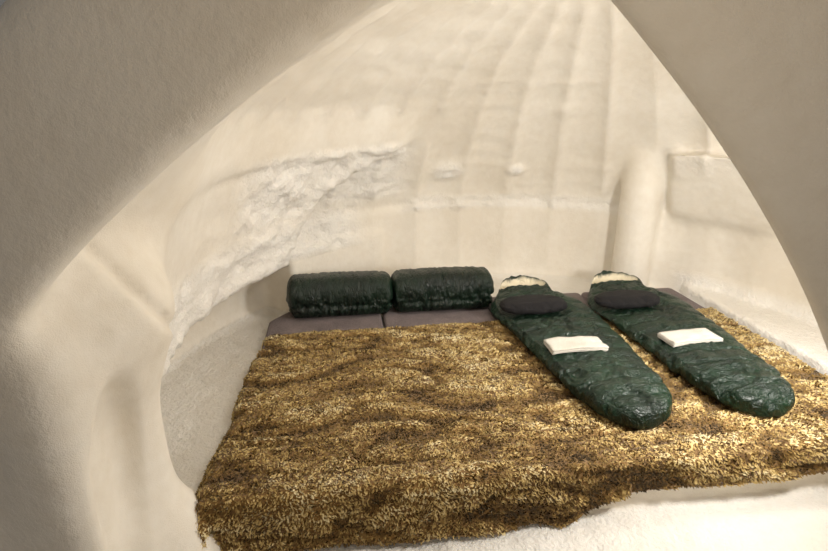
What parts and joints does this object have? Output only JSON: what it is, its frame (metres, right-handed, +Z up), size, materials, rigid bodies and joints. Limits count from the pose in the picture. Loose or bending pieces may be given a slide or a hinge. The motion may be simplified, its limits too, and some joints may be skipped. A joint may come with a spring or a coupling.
{
  "type": "snow igloo with a sleeping room",
  "caption": "Hollow igloo of packed snow: fluted vault on a low wall, pointed doorway arch in a flat front, and a raised sleeping platform laid with furs and sleeping bags.",
  "frame": {"origin": "on the ground, at the centre of the footprint's box", "axes": "+Z up, +Y towards the back of the room, the doorway faces -Y, +X to the right of someone who enters"},
  "size_m": [5.4992, 4.0497, 2.7497],
  "materials": {
    "packed_snow": "packed snow, matt with a fine grain, carved and trowelled by hand",
    "mattress_cover": "plain woven mattress cover",
    "faux_fur": "long-pile golden brown faux fur",
    "bag_satin": "dark green shiny nylon, filled and quilted",
    "pillow_cover": "dark brushed fabric",
    "towelling": "white terry towelling"
  },
  "bodies": {
    "root": {"snow_floor": "packed_snow", "sleeping_platform": "packed_snow", "wall_right": "packed_snow", "wall_back_right": "packed_snow", "wall_back": "packed_snow", "wall_back_left": "packed_snow", "wall_left": "packed_snow", "vault_right": "packed_snow", "vault_back_right": "packed_snow", "vault_back": "packed_snow", "vault_back_left": "packed_snow", "vault_left": "packed_snow", "vault_front_left": "packed_snow", "vault_front_right": "packed_snow", "crown_cap": "packed_snow", "front_pier_left": "packed_snow", "front_pier_right": "packed_snow", "front_haunch_left": "packed_snow", "front_haunch_right": "packed_snow", "door_lobe_front": "packed_snow", "door_lobe_inner": "packed_snow", "left_overhang": "packed_snow", "right_pilaster": "packed_snow", "right_snow_block": "packed_snow", "right_shelf": "packed_snow", "ledge_lumps": "packed_snow", "mattress_1": "mattress_cover", "mattress_2": "mattress_cover", "mattress_3": "mattress_cover", "mattress_4": "mattress_cover", "fur_throw_left": "faux_fur", "fur_throw_middle": "faux_fur", "fur_throw_right": "faux_fur", "sleeping_bag_1": "bag_satin", "sleeping_bag_2": "bag_satin", "bolster_bag_1": "bag_satin", "bolster_bag_2": "bag_satin", "pillow_1": "pillow_cover", "pillow_2": "pillow_cover", "towel_1": "towelling", "towel_2": "towelling"}
  },
  "joints": []
}
